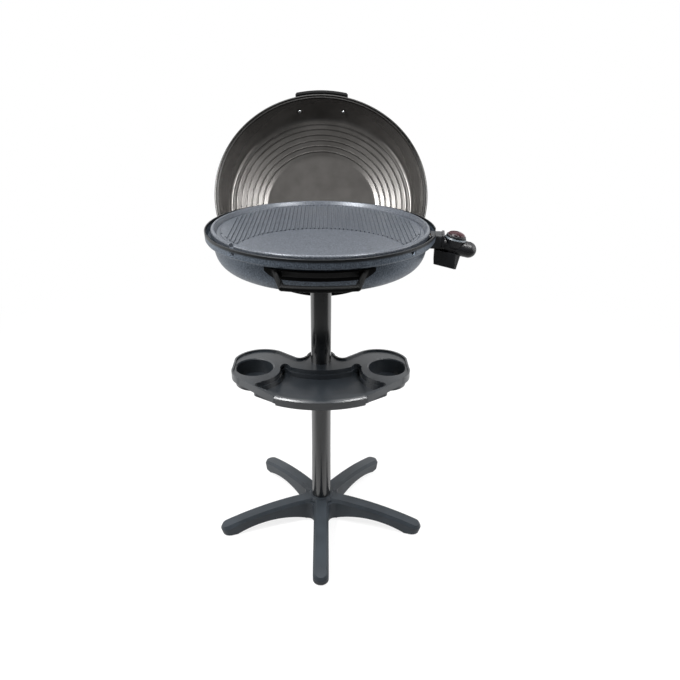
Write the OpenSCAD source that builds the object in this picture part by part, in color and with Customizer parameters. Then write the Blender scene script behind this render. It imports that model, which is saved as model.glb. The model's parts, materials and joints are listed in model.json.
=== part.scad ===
// Electric grill with a hinged round lid, on a column stand with a shelf and a five-legged base.
// Millimetres. The origin is the column's axis on the floor: +X right, +Y to the rear, +Z up.
// The lid is drawn open, resting on its stops. Closed, it would lie on the bowl's rim.

/* [Stand] */
// Height of the bowl's rim above the floor
rim_z = 816; // [770:1:880]
// Outer diameter of the column's tubes
tube_d = 50; // [46:1:54]
// Wall of the column's tubes
tube_wall = 1.8; // [1.2:0.1:3]
// Radius of the circle on which the feet stand
foot_r = 263; // [240:1:290]
// Width of a leg
leg_w = 39; // [34:1:42]
// Rise of the arch under each leg
leg_arch = 22; // [14:1:28]
// Wall of the hollow legs
leg_wall = 4; // [3:0.5:5]
// Height of the legs' crown at the hub
hub_z = 66; // [62:1:76]
// Height of a leg's crown over its foot
tip_z = 32; // [28:1:38]
// Thickness of the rubber pads under the feet
pad_h = 4; // [3:0.5:6]

/* [Shelf] */
// Height of the shelf's deck above the floor
shelf_z = 474; // [380:1:560]
// Distance of a cup holder's centre from the column's axis, sideways
cup_x = 161.5; // [158:0.5:164]
// Diameter of a cup holder
cup_d = 90; // [80:1:92]
// Depth of a cup holder
cup_depth = 38; // [30:1:50]
// Depth of the shelf's tray below its deck
recess_depth = 23; // [16:1:28]
// Wall of the moulded shelf
shelf_wall = 3; // [2:0.5:4]

/* [Bowl] */
// Outer radius of the bowl's rim
bowl_r = 262; // [259:1:266]
// Depth of the bowl from its rim to its bottom
bowl_depth = 95; // [92:1:110]
// Wall of the bowl
bowl_wall = 3; // [2.5:0.1:3.5]
// Height of the upright band below the bowl's rim
band_h = 18; // [17:0.5:19]
// Distance by which the bowl's body is set in under its band
bowl_step = 19; // [17:1:20]

/* [Cooking plate] */
// Outer radius of the cooking plate
plate_r = 248; // [246:1:250]
// Thickness of the cooking plate under its cooking face
plate_t = 6.5; // [5.5:0.1:8]
// Height of the plate's raised edge above its cooking face
plate_edge = 9.5; // [7:0.5:12]
// Spacing of the searing ribs
rib_pitch = 9.4; // [8.4:0.1:12]
// Height of the searing ribs
rib_h = 3; // [2:0.5:4]
// Width of a searing rib at its foot
rib_w = 4.4; // [3.5:0.1:5]
// Outer diameter of the heating element
heater_d = 6.6; // [6:0.1:7]
// Radius of the heating element's outer loop
heater_r = 185; // [175:1:195]

/* [Drip tray] */
// Width of the drip tray's trough
trough_w = 140; // [110:1:142]
// Depth of the drip tray's trough
trough_h = 8.4; // [7:0.1:9]
// Distance of the drip tray's rear end from the column's axis
trough_back = 66; // [60:1:90]

/* [Lid] */
// Outer radius of the lid's rim
lid_r = 284; // [282:1:292]
// Sheet thickness of the lid
lid_t = 1.6; // [1.2:0.1:2.4]
// Depth of the lid at its flat crown
lid_depth = 109; // [104:1:120]
// Angle by which the lid swings from closed to open
lid_swing = 124; // [110:1:126]
// Distance of the lid's hinge axis behind the column's axis
hinge_back = 146; // [143:1:150]
// Distance of the lid's hinge axis below the bowl's rim
hinge_drop = 65; // [62:1:67]
// Diameter of the hinge pins
pin_d = 8; // [6:0.5:10]

/* [Control unit] */
// Direction in which the control unit points, as an angle about the column
control_az = -8; // [-10:1:-6]
// Downward slope of the control unit's body
control_tilt = 11; // [6:1:13]
// Radius of the control unit's rounded grip
grip_r = 18; // [16:0.5:19]
// Radius of the dial knob
knob_r = 22.5; // [19:0.5:23]
// Diameter of the terminal pins
terminal_d = 4; // [3:0.5:5]
// Diameter of the thermostat's probe
probe_d = 5; // [4:0.1:5.2]

/* [Fits] */
// Radial clearance of turning and sliding round parts
run_gap = 0.05; // [0.03:0.01:0.08]
// Clearance between parts that are set against each other
seat_gap = 0.1; // [0.05:0.01:0.2]
// Clearance between parts that move past each other
pass_gap = 0.4; // [0.3:0.05:0.5]

/* [Hidden] */
$fn = 128;
fine = 720;                        // facets of long shallow arcs
eps = 0.01;

tube_r = tube_d / 2;
legs = 5;
leg_step = 360 / legs;
leg_flat = 27;                     // radius at which a leg's crown starts to fall
bevel_w = 6;
bevel_h = 8;
hub_fillet = 18;
hub_floor = 24;                    // underside of the hub's floor
web_z = 8;                         // underside of the webs between the legs
foot_l = 24;                       // from a foot's centre to the end of the leg's arch
hub_floor_t = 8;
hub_r = 38;
pad_r = 11;
pad_peg_r = 4;
leg_depth = hub_z;                 // the arch and the floor cut the legs from below
arch_half = (foot_r - foot_l - hub_r) / 2;
arch_r = (pow(arch_half, 2) + pow(leg_arch, 2)) / (2 * leg_arch);
crown_r = (pow(foot_r - leg_flat, 2) + pow(hub_z - tip_z, 2)) / (2 * (hub_z - tip_z));

bolt_r = 4;
screw_r = 2;                       // small sheet and plastic screws
screw_head_r = 3.6;
screw_head_h = 2.2;

shelf_rim = 4;                     // raised edge round the deck
shelf_hub_h = 42;                  // length of the shelf's sleeve on the column
shelf_hub_t = 6;
collar_h = 14;
tube_split = shelf_z - 20;         // where the lower tube ends and the upper one starts
coupler_half = 50;

ledge_h = 10;                      // height of the ledge between the bowl's band and its body
body_r = bowl_r - bowl_step;       // radius of the bowl's body
body_top = rim_z - band_h - ledge_h;
body_h = bowl_depth - band_h - ledge_h;
body_p = 8;                        // exponents of the body's superellipse
body_q = 2.35;
bowl_flat = 60;                    // radius of the bowl's flat bottom
bowl_foot = bowl_z(body_r, body_h, bowl_flat);
socket_z = bowl_foot + bowl_wall;  // seat of the column's socket on the bowl's floor
socket_t = 7;
socket_r = 55;
socket_h = 48;
socket_wall = 5;
socket_cap = 4;

cook_z = rim_z + 4 - plate_edge;   // cooking face
plate_z = cook_z - plate_t;        // underside of the cooking plate
heater_z = plate_z - heater_d / 2 - run_gap;
heater_in = heater_r - 75;         // inner loop
heater_turn = 160;                 // angle at which the loops turn back
heater_bend = 25;
terminal_y = 12;
reflector_z = rim_z - 23;
reflector_r = plate_r - 20;
support_az = [-43, -137, 43, 137];
griddle_c = [0, -190];             // centre of the smooth part of the cooking face
griddle_r = 183;
ribs_r = 222;

flange_t = 4.6;                    // front handle's plate, measured outwards from the bowl
grip_bar_r = 5.25;
grip_ring_r = bowl_r + 30;
grip_drop = rim_z - 48;
tray_top = reflector_z - 10.2;
tray_wall = 1.2;
tray_edge = 5;                     // width of the tray's hanging edges
tray_front_w = trough_w + 2 * tray_edge + 2;
tray_front_h = 10.6;
tray_front_z = tray_top + 1.8 - tray_front_h;

lid_z = rim_z + 2;                 // rim plane of the closed lid
lid_in = lid_r - 11;               // inner radius of the lid's wall at its rim
ring_step = 3.4;                   // height of each pressed ring
ring_r = [243, 230, 213, 194.5, 176, 158];
lid_ledge = lid_depth - 29;        // depth of the first pressed ring
hinge_z = rim_z - hinge_drop;
arm_t = 5;
arm_w = 24;
arm_x = sqrt(pow(lid_in, 2) - pow(hinge_back, 2)) + 3.5;
bracket_x = arm_x - 0.5;
pin_r = pin_d / 2;

shroud_w = 42;
shroud_t = 3;
shroud_x = [plate_r + 2, bowl_r + 13];
shroud_top = rim_z - 6;
shroud_foot = rim_z - 38;
control_x = shroud_x[1] + 6;       // where the tilted body starts
control_z = rim_z - 31;
grip_len = 56;
knob_x = 21.7;
knob_base = 18.5;
box_w = 44;
box_x = [bowl_r - 2, bowl_r + 57];
box_drop = 12;                     // depth of the parting face below the body's axis

// ---- shared shapes -------------------------------------------------------------------------

function arc(c, r, a0, a1, n) =
    [for (i = [0:n]) let (a = a0 + (a1 - a0) * i / n) [c[0] + r * cos(a), c[1] + r * sin(a)]];
function mirrored(p) = [for (i = [len(p) - 1:-1:0]) [-p[i][0], p[i][1]]];
function reversed(p) = [for (i = [len(p) - 1:-1:0]) p[i]];

// The bowl's body is a superellipse: (r / R)^p + (depth / H)^q = 1.
function bowl_z(R, H, r) = body_top - H * pow(1 - pow(r / R, body_p), 1 / body_q);
function bowl_at(z) = z > body_top ? body_r
    : body_r * pow(1 - pow((body_top - z) / body_h, body_q), 1 / body_p);
function bowl_lean(z) = atan(bowl_at(z + 0.5) - bowl_at(z - 0.5));
function bowl_curve(R, H, n) =
    let (last = acos(pow(bowl_flat / R, body_p / 2)))
    [for (i = [0:n]) let (a = last * i / n)
        [R * pow(cos(a), 2 / body_p), body_top - H * pow(sin(a), 2 / body_q)]];

module turn(a) { rotate([0, 0, a]) children(); }
module ring(r_in, r_out, h) {
    difference() {
        cylinder(r = r_out, h = h);
        translate([0, 0, -1]) cylinder(r = r_in, h = h + 2);
    }
}
module rounded(w, h, r) {
    square([w - 2 * r, h], center = true);
    square([w, h - 2 * r], center = true);
    for (x = [-1, 1], y = [-1, 1]) translate([x * (w / 2 - r), y * (h / 2 - r)]) circle(r = r);
}
module pan_screw(shank, grip_l) {
    // Head above z = 0, shank below it.
    translate([0, 0, -grip_l]) cylinder(r = shank, h = grip_l + eps);
    difference() {
        cylinder(r1 = screw_head_r, r2 = screw_head_r * 0.7, h = screw_head_h);
        translate([0, 0, screw_head_h * 0.7]) for (a = [0, 90]) turn(a) cube([3.4, 0.9, 2], center = true);
    }
}
module round_bar(a, b, r) {
    // A straight bar with a ball at its first end.
    d = b - a;
    translate(a) rotate([0, acos(d[2] / norm(d)), atan2(d[1], d[0])]) {
        cylinder(r = r, h = norm(d));
        sphere(r = r);
    }
}
module on_bowl(az, z) {
    // Puts +Z along the bowl's outward normal, with z = 0 on its outer face.
    turn(az) translate([bowl_at(z), 0, z]) rotate([0, 90 + bowl_lean(z), 0]) children();
}
module bowl_solid(grow) {
    rotate_extrude() polygon(concat([[0, body_top + 30], [body_r + grow, body_top + 30]],
        bowl_curve(body_r + grow, body_h + grow, 20), [[0, bowl_foot - grow]]));
}
module bowl_inside(shrink) {
    r = body_r - bowl_wall - shrink;
    rotate_extrude() polygon(concat([[0, body_top + 30], [r, body_top + 30]],
        bowl_curve(r, body_h - bowl_wall - shrink, 20), [[0, bowl_foot + bowl_wall + shrink]]));
}
module lid_pose() {
    translate([0, hinge_back, hinge_z]) rotate([-lid_swing, 0, 0])
        translate([0, -hinge_back, -hinge_z]) children();
}
module at_control() { turn(control_az) children(); }
module control_axis() {
    at_control() translate([control_x, 0, control_z]) rotate([0, control_tilt, 0]) children();
}

// ---- base ----------------------------------------------------------------------------------

module leg_section(inset) {
    w = leg_w / 2 - inset;
    top = crown_r - inset;
    polygon([[crown_r - leg_depth - inset, -w], [top - bevel_h, -w], [top, -w + bevel_w],
             [top, w - bevel_w], [top - bevel_h, w], [crown_r - leg_depth - inset, w]]);
}
module leg_sweep(r0, r1, inset) {
    a0 = asin((r0 - leg_flat) / crown_r);
    a1 = asin((r1 - leg_flat) / crown_r);
    translate([leg_flat, 0, hub_z - crown_r]) rotate([90, 0, 0]) turn(90 - a1)
        rotate_extrude(angle = a1 - a0, $fn = fine) leg_section(inset);
}
module leg_nose() {
    // The leg ends in its own section turned about the crown's normal.
    translate([leg_flat, 0, hub_z - crown_r]) rotate([0, asin((foot_r - leg_flat) / crown_r), 0])
        translate([0, 0, crown_r - leg_depth]) rotate_extrude()
            polygon([[0, 0], [leg_w / 2, 0], [leg_w / 2, leg_depth - bevel_h],
                     [leg_w / 2 - bevel_w, leg_depth], [0, leg_depth]]);
}
module leg() {
    pockets = 4;
    from = hub_r + 10;
    to = foot_r - 30;
    rib = 3;
    difference() {
        union() {
            leg_sweep(leg_flat, foot_r, 0);
            leg_nose();
            translate([0, 0, hub_z - crown_r]) rotate([0, -90, 180]) linear_extrude(leg_flat + eps)
                leg_section(0);
        }
        for (i = [0:pockets - 1])
            leg_sweep(from + (to - from) * i / pockets + rib, from + (to - from) * (i + 1) / pockets,
                leg_wall);
        translate([hub_r + arch_half, 0, pad_h + leg_arch - arch_r]) rotate([90, 0, 0])
            cylinder(r = arch_r, h = leg_w + 2, center = true, $fn = fine);
    }
}
module hub_web() {
    // Fills the corner between two legs with a round inside fillet.
    half = leg_step / 2;
    reach = leg_w / 2 + hub_fillet;
    c = reach / sin(half);
    t = reach / tan(half);
    p = [t * cos(half) + leg_w / 2 * sin(half), t * sin(half) - leg_w / 2 * cos(half)];
    linear_extrude(hub_z - bevel_h - web_z) difference() {
        polygon([[0, 0], [p[0], -p[1]], [c, 0], p]);
        translate([c, 0]) circle(r = hub_fillet);
    }
}
module star_base() {
    color("#33383c") difference() {
        union() {
            for (i = [0:legs - 1]) turn(-90 + i * leg_step) {
                leg();
                turn(leg_step / 2) translate([0, 0, web_z]) hub_web();
            }
            translate([0, 0, hub_floor]) cylinder(r = hub_r, h = hub_z - bevel_h / 2 - hub_floor);
            translate([0, 0, hub_z - bevel_h]) cylinder(r1 = tube_r + 12, r2 = tube_r + 5, h = bevel_h + 3);
        }
        translate([0, 0, hub_floor + hub_floor_t]) cylinder(r = tube_r + seat_gap, h = hub_z);
        translate([0, 0, -1]) cylinder(r = bolt_r + 0.3, h = hub_z);
        translate([0, 0, -100 + hub_floor]) cylinder(r = hub_r - leg_wall, h = 100);
        translate([0, 0, -150 + pad_h]) cylinder(r = foot_r + leg_w, h = 150);
        for (i = [0:legs - 1]) turn(-90 + i * leg_step)
            translate([foot_r - 3, 0, 0]) cylinder(r = pad_peg_r + 0.2, h = pad_h + 7);
    }
}
module foot_pads() {
    color("#17181a") for (i = [0:legs - 1]) turn(-90 + i * leg_step) translate([foot_r - 3, 0, 0]) {
        cylinder(r1 = pad_r - 1, r2 = pad_r, h = pad_h);
        cylinder(r = pad_peg_r, h = pad_h + 6);
    }
}
module base_washer() {
    color("silver") translate([0, 0, hub_floor - 1.6]) ring(bolt_r + 0.3, 12, 1.6);
}
module base_bolt() {
    color("silver") translate([0, 0, hub_floor - 1.6]) {
        cylinder(r = bolt_r, h = 32);
        translate([0, 0, -5.3]) cylinder(r = 7.5, h = 5.3, $fn = 6);
    }
}

// ---- column --------------------------------------------------------------------------------

module tube(z0, z1) {
    translate([0, 0, z0]) ring(tube_r - tube_wall, tube_r, z1 - z0);
}
module tube_insert() {
    color("silver") translate([0, 0, hub_floor + hub_floor_t])
        ring(bolt_r + run_gap, tube_r - tube_wall - seat_gap, 22);
}
module lower_tube() {
    color("#2e3236") tube(hub_floor + hub_floor_t, tube_split);
}
module tube_coupler() {
    color("silver") translate([0, 0, tube_split - coupler_half])
        ring(tube_r - tube_wall - seat_gap - 2, tube_r - tube_wall - seat_gap, 2 * coupler_half);
}
module upper_tube() {
    color("#2e3236") tube(tube_split, socket_z + socket_h);
}

// ---- shelf ---------------------------------------------------------------------------------

lobe_c = [144.3, -14.6];
lobe_r = 72.2;
cheek_c = [154.8, -56.4];
cheek_r = 60.8;
brow_c = [0, 25];                  // centre of the shelf's front curve
brow_r = 240;
brow_half = 26;
bump_c = [0, 16.7];                // lobe behind the column
bump_r = 36.1;
valley_c = [54.1, 21.5];
valley_r = 15.2;
ring_c = [167.1, -50.7];           // edge of the tray round a cup holder
ring_edge = 68.4;
front_c = [0, 268];                // tray's long front edge
front_r = 448;
front_half = 13.2;
finger_c = [142.4, -127.6];
finger_r = 10.4;
horn_c = [88.3, -27.9];
horn_r = 8.5;
island_c = [0, 96];                // raised deck before the column
island_r = 152.6;
cup_y = -37;

function shelf_outline(d) = let (side = concat(
        arc(brow_c, brow_r - d, -90, -90 + brow_half, 12),
        arc(cheek_c, cheek_r - d, -52, 8, 10),
        arc(lobe_c, lobe_r - d, 14, 122, 14),
        arc(valley_c, valley_r + d, 300, 205, 8),
        arc(bump_c, bump_r - d, 4, 90, 8)))
    concat(side, mirrored(side));
function tray_outline(d) = let (side = concat(
        arc(front_c, front_r - d, -90, -90 + front_half, 12),
        arc(finger_c, finger_r - d, -50, 110, 8),
        arc(ring_c, ring_edge + d, 247, 168, 12),
        arc(horn_c, horn_r - d, 20, 170, 8),
        arc(island_c, island_r + d, -61, -90, 12)))
    concat(side, mirrored(side));

module shelf() {
    skirt = 18;
    step = 4;
    floor_z = shelf_z - recess_depth;
    color("#3a3f44") difference() {
        union() {
            translate([0, 0, shelf_z - shelf_wall]) linear_extrude(shelf_wall + eps)
                polygon(shelf_outline(0));
            translate([0, 0, shelf_z + shelf_rim - skirt]) linear_extrude(skirt) difference() {
                polygon(shelf_outline(0));
                polygon(shelf_outline(shelf_wall + 1.5));
            }
            translate([0, 0, floor_z - shelf_wall]) linear_extrude(recess_depth + eps)
                polygon(tray_outline(-shelf_wall));
            for (s = [-1, 1]) translate([s * cup_x, cup_y, shelf_z - cup_depth - shelf_wall])
                cylinder(r = cup_d / 2 + shelf_wall, h = cup_depth + eps);
            translate([0, 0, shelf_z - shelf_hub_h]) cylinder(r = tube_r + shelf_hub_t, h = shelf_hub_h);
            for (a = [0, 90, 180]) turn(a) translate([tube_r + 2, -1.5, shelf_z - recess_depth])
                cube([a == 90 ? 24 : 103, 3, recess_depth - 1]);
            // Front lip, a curved band that stands out from the skirt.
            translate([brow_c[0], brow_c[1], 0]) turn(-90 - brow_half + 1)
                rotate_extrude(angle = 2 * brow_half - 2) polygon([
                    [brow_r - 7, shelf_z + shelf_rim], [brow_r + 3, shelf_z + shelf_rim + 2],
                    [brow_r + 6, shelf_z + shelf_rim - 1], [brow_r - 1, shelf_z - 19],
                    [brow_r - 7, shelf_z - 19]]);
        }
        translate([0, 0, shelf_z - recess_depth / 2]) linear_extrude(recess_depth)
            polygon(tray_outline(0));
        translate([0, 0, floor_z]) linear_extrude(recess_depth) polygon(tray_outline(step));
        for (s = [-1, 1]) translate([s * cup_x, cup_y, 0]) {
            translate([0, 0, shelf_z - cup_depth]) cylinder(r = cup_d / 2, h = cup_depth + 20);
            translate([0, 0, shelf_z - 2]) cylinder(r1 = cup_d / 2, r2 = cup_d / 2 + 3, h = 2 + eps);
        }
        cylinder(r = tube_r + seat_gap, h = rim_z);
    }
}
module shelf_collar() {
    top = shelf_z - shelf_hub_h;
    color("#202224") difference() {
        translate([0, 0, top - collar_h]) ring(tube_r + seat_gap, tube_r + shelf_hub_t + 2, collar_h);
        translate([0, tube_r, top - collar_h / 2]) rotate([-90, 0, 0]) cylinder(r = 2.6, h = 20);
    }
}
module collar_screw() {
    color("silver") translate([0, tube_r + seat_gap, shelf_z - shelf_hub_h - collar_h / 2])
        rotate([-90, 0, 0]) {
            cylinder(r = 2.5, h = shelf_hub_t + 3);
            translate([0, 0, shelf_hub_t + 2 + seat_gap]) cylinder(r = 5, h = 4, $fn = 6);
        }
}

// ---- bowl ----------------------------------------------------------------------------------

socket_screw_r = 44;
module column_socket() {
    // Flanged cup on the bowl's floor: the column comes up through the floor into it.
    color("#202224") translate([0, 0, socket_z]) difference() {
        union() {
            cylinder(r = socket_r, h = socket_t);
            cylinder(r1 = tube_r + socket_wall + 2, r2 = tube_r + socket_wall, h = socket_h + socket_cap);
            for (a = [0:90:270]) turn(a) translate([tube_r, -2, 0]) rotate([90, 0, 0]) translate([0, 0, -4])
                linear_extrude(4) polygon([[2, 0], [socket_r - tube_r - 2, 0], [socket_r - tube_r - 2, socket_t],
                                           [4, socket_h], [2, socket_h]]);
        }
        translate([0, 0, -1]) cylinder(r = tube_r + seat_gap, h = socket_h + 1);
        for (a = [45:90:315]) turn(a) translate([socket_screw_r, 0, -1])
            cylinder(r = screw_r + run_gap, h = socket_t + 2);
        turn(45) translate([tube_r, 0, socket_h / 2]) rotate([0, 90, 0]) cylinder(r = 2.5 + run_gap, h = 20);
    }
}
module socket_screws() {
    color("silver") for (a = [45:90:315]) turn(a)
        translate([socket_screw_r, 0, bowl_foot]) rotate([180, 0, 0])
            pan_screw(screw_r, socket_t + bowl_wall);
}
module socket_lock_screw() {
    color("silver") turn(45) translate([tube_r + seat_gap, 0, socket_z + socket_h / 2]) rotate([0, 90, 0]) {
        cylinder(r = 2.5, h = socket_wall + 4);
        translate([0, 0, socket_wall + 3]) cylinder(r = 5, h = 4, $fn = 6);
    }
}
// From the band's lower edge in to the body, and the direction of the wall's inner side.
ledge = [[bowl_r - 0.8, rim_z - band_h], [bowl_r - 2.6, rim_z - band_h - 3],
         [body_r + 5.5, body_top + 3.6], [body_r + 1.6, body_top + 2]];
ledge_turn = [[-1, 0.6], [-0.9, 0.9], [-0.4, 1], [-0.9, 0.6]];
vent_az = [-43, -133];
handle_screw_az = [-90 - 20.5, -90 + 20.5];
handle_screw_z = rim_z - 39;
bracket_screw_z = [rim_z - 66, rim_z - 40];
function bracket_screw_az(z) = asin(hinge_back / bowl_at(z));

module bowl() {
    color("#565b60") difference() {
        rotate_extrude() polygon(concat(
            [[bowl_r - bowl_wall + 0.6, rim_z], [bowl_r - 0.6, rim_z], [bowl_r, rim_z - 0.8]],
            ledge,
            bowl_curve(body_r, body_h, 20),
            [[0, bowl_foot], [0, bowl_foot + bowl_wall]],
            reversed(bowl_curve(body_r - bowl_wall, body_h - bowl_wall, 20)),
            [for (i = [3:-1:0]) ledge[i] + bowl_wall * ledge_turn[i]],
            [[bowl_r - bowl_wall, rim_z - 0.6]]));
        // Way for the drip tray.
        translate([-tray_front_w / 2 - pass_gap, -bowl_r - 5, tray_front_z - pass_gap])
            cube([tray_front_w + 2 * pass_gap, 60, tray_front_h + 2 * pass_gap]);
        // Notch that the terminal shroud drops into.
        at_control() translate([body_r - 20, -shroud_w / 2 - pass_gap, shroud_foot - pass_gap])
            cube([bowl_step + 40, shroud_w + 2 * pass_gap, 60]);
        // Air openings in the band, three-cornered.
        for (a = vent_az) turn(a) translate([body_r - 5, 0, 0]) rotate([90, 0, 90]) linear_extrude(40)
            polygon([[-10, rim_z - 7], [10, rim_z - 7], [3, rim_z - 15.5], [-1, rim_z - 15.5]]);
        translate([0, 0, bowl_foot - 1]) cylinder(r = tube_r + pass_gap, h = bowl_wall + 2);
        for (a = [45:90:315]) turn(a) translate([socket_screw_r, 0, bowl_foot - 1])
            cylinder(r = screw_r + seat_gap, h = bowl_wall + 2);
        for (a = handle_screw_az) on_bowl(a, handle_screw_z) cylinder(r = screw_r + seat_gap, h = 12, center = true);
        for (m = [0, 1], z = bracket_screw_z) mirror([m, 0, 0]) on_bowl(bracket_screw_az(z), z)
            cylinder(r = screw_r + seat_gap, h = 12, center = true);
    }
}
module support_brackets() {
    w = 24;
    inner = body_r - bowl_wall;
    color("silver") intersection() {
        for (a = support_az) turn(a) rotate([90, 0, 0]) translate([0, 0, -w / 2]) linear_extrude(w)
            polygon([[inner - 23, plate_z], [inner, plate_z], [inner, reflector_z - 24],
                     [inner - 6, reflector_z - 24], [inner - 6, reflector_z - 2.5],
                     [inner - 37, reflector_z - 2.5], [inner - 37, reflector_z], [inner - 4, reflector_z],
                     [inner - 4, plate_z - 2.5], [inner - 23, plate_z - 2.5]]);
        bowl_inside(seat_gap);
    }
}
module heat_reflector() {
    outlet = [100, 90];
    color("#c9ccd0") difference() {
        translate([0, 0, reflector_z]) rotate_extrude() polygon([[0, 0], [reflector_r - 1, 0],
            [reflector_r, 1], [reflector_r, 3.4], [reflector_r - 1, 3.4], [reflector_r - 1, 1], [0, 1]]);
        translate([-outlet[0] / 2, -200, reflector_z - 1]) cube([outlet[0], outlet[1], 3]);
    }
}
rail_in = trough_w / 2 + 0.8;
rail_out = trough_w / 2 + tray_edge + 1.5;
module tray_rails() {
    y0 = -reflector_r + 20;
    color("#b4b8bc") for (s = [0, 1]) mirror([s, 0, 0]) translate([0, y0, 0]) rotate([-90, 0, 0])
        linear_extrude(-y0 - trough_back + 6) polygon([for (p = [
            [rail_in, tray_top - tray_wall - 0.3], [rail_in, tray_top - tray_wall - 1.5],
            [rail_out + 1.2, tray_top - tray_wall - 1.5], [rail_out + 1.2, reflector_z],
            [rail_out - 6, reflector_z], [rail_out - 6, reflector_z - 1.2], [rail_out, reflector_z - 1.2],
            [rail_out, tray_top - tray_wall - 0.3]]) [p[0], -p[1]]]);
}
module drip_tray() {
    // Sheet trough that hangs by its edges in the rails, with a moulded front.
    back = -trough_back;
    front = -body_r + 12;
    z0 = tray_top - trough_h;
    slope = 2;
    color("#1b1c1e") {
        difference() {
            union() {
                translate([-trough_w / 2, front - 14, z0]) cube([trough_w, back - front + 14, trough_h]);
                translate([-trough_w / 2 - tray_edge, front, tray_top - tray_wall])
                    cube([trough_w + 2 * tray_edge, back - front, tray_wall]);
            }
            translate([-trough_w / 2 + tray_wall, front + slope, z0 + tray_wall])
                cube([trough_w - 2 * tray_wall, back - front - slope - tray_wall, trough_h]);
            difference() {
                translate([-trough_w, -2 * bowl_r, 0]) cube([2 * trough_w, 2 * bowl_r, rim_z]);
                cylinder(r = body_r - 4, h = rim_z);
            }
        }
        intersection() {
            translate([0, 0, tray_front_z]) ring(body_r - 5, body_r + flange_t - 0.6, tray_front_h);
            translate([-tray_front_w / 2, -bowl_r - 20, 0]) cube([tray_front_w, 60, rim_z]);
        }
    }
}

// ---- front handle --------------------------------------------------------------------------

module front_handle() {
    half = 112;
    foot_half = 96;
    low = tray_front_z - 7;
    top = body_top - 0.8;
    bar_half = 14.4;
    end = [grip_ring_r * sin(bar_half), -grip_ring_r * cos(bar_half), grip_drop];
    color("#141516") difference() {
        union() {
            intersection() {
                translate([0, 0, low]) ring(body_r + seat_gap, body_r + flange_t, top - low);
                translate([0, -bowl_r + 60, 0]) rotate([90, 0, 0]) linear_extrude(120) polygon([
                    [-half, top], [half, top], [half, top - 6], [half - 9, top - 13], [foot_half - 6, low],
                    [6 - foot_half, low], [9 - half, top - 13], [-half, top - 6]]);
            }
            turn(-90 - bar_half) rotate_extrude(angle = 2 * bar_half) translate([grip_ring_r, grip_drop])
                circle(r = grip_bar_r);
            difference() {
                for (s = [-1, 1])
                    round_bar([s * end[0], end[1], end[2]], [s * 93, -body_r + 28, top - 6], grip_bar_r + 0.3);
                translate([0, 0, low - 40]) cylinder(r = body_r + seat_gap, h = 80);
            }
        }
        translate([-tray_front_w / 2 - pass_gap, -bowl_r - 20, tray_front_z - pass_gap])
            cube([tray_front_w + 2 * pass_gap, 60, tray_front_h + 2 * pass_gap]);
        for (a = handle_screw_az) on_bowl(a, handle_screw_z) cylinder(r = screw_r + run_gap, h = 6, center = true);
    }
}
module handle_screws() {
    color("silver") for (a = handle_screw_az) on_bowl(a, handle_screw_z)
        translate([0, 0, -bowl_wall - 0.4]) rotate([180, 0, 0]) pan_screw(screw_r, bowl_wall + 2.8);
}

// ---- cooking plate and heater --------------------------------------------------------------

clamp_at = [[heater_r, 50], [heater_r, 120], [heater_r, -50], [heater_r, -120], [heater_in, 80],
            [heater_in, -80]];
clamp_foot = 9.5;
shroud_tab_x = plate_r - 10;
shroud_tab_w = 6.4;
shroud_tab_y = (shroud_w - shroud_tab_w) / 2;
groove_in = ribs_r + 4;
groove_out = plate_r - 13;

// Front end of the groove at x: the smooth griddle's edge, or the ribs' outer circle.
function groove_end(x) = let (y_ring = -sqrt(pow(ribs_r, 2) - x * x))
    abs(x) < griddle_r - 8 ? max(y_ring, griddle_c[1] + sqrt(pow(griddle_r, 2) - x * x)) : y_ring;

module searing_ribs() {
    n = floor((ribs_r - 6) / rib_pitch);
    difference() {
        intersection() {
            translate([0, ribs_r, cook_z - 1]) rotate([90, 0, 0]) linear_extrude(2 * ribs_r)
                for (i = [-n:n]) translate([(i + 0.5) * rib_pitch, 0])
                    polygon([[-rib_w / 2, 0], [rib_w / 2, 0], [rib_w / 2 - 1, rib_h + 1],
                             [1 - rib_w / 2, rib_h + 1]]);
            translate([0, 0, cook_z - 2]) cylinder(r = ribs_r, h = rib_h + 4);
        }
        translate([griddle_c[0], griddle_c[1], cook_z - 3]) cylinder(r = griddle_r, h = rib_h + 6);
    }
}
module grill_plate() {
    n = floor((ribs_r - 12) / rib_pitch);
    edge_z = cook_z + plate_edge;
    color("#43474b") difference() {
        union() {
            rotate_extrude() polygon(concat(
                [[0, plate_z], [plate_r - 4, plate_z], [plate_r, plate_z + 4]],
                arc([plate_r - 5, edge_z - 5], 5, 0, 120, 8),
                [[plate_r - 12, cook_z + 1]],
                [[groove_out, cook_z - 2], [groove_in + 2, cook_z - 2], [groove_in, cook_z],
                 [0, cook_z]]));
            searing_ribs();
        }
        for (i = [-n:n]) translate([i * rib_pitch, groove_end(i * rib_pitch) + 3.5, plate_z - 1])
            cylinder(r = 1.6, h = plate_t + 3);
        // Drain slots in the outer groove.
        for (a = [-13, -167]) turn(a) translate([ribs_r + 2, 0, plate_z + plate_t / 2])
            cube([2.6, 10, plate_t + 4], center = true);
        // Pouring notch in the raised edge.
        turn(-137.2) translate([plate_r - 14, -8, cook_z + 0.5]) cube([20, 16, plate_edge + 2]);
        for (c = clamp_at) at_control() turn(c[1]) for (s = [-1, 1])
            translate([c[0] + s * clamp_foot, 0, plate_z - 1]) cylinder(r = screw_r + run_gap, h = 5);
        at_control() for (s = [-1, 1]) translate([shroud_tab_x, s * shroud_tab_y, plate_z - 1])
            cylinder(r = screw_r + run_gap, h = 5);
    }
}
module heater_arc(c, r, a0, a1, thin = 0) {
    // The tight bends are drawn thinner, as bending draws the sheath out.
    translate([c[0], c[1], heater_z]) turn(a0) rotate_extrude(angle = a1 - a0)
        translate([r, 0]) circle(r = heater_d / 2 - thin);
}
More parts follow.
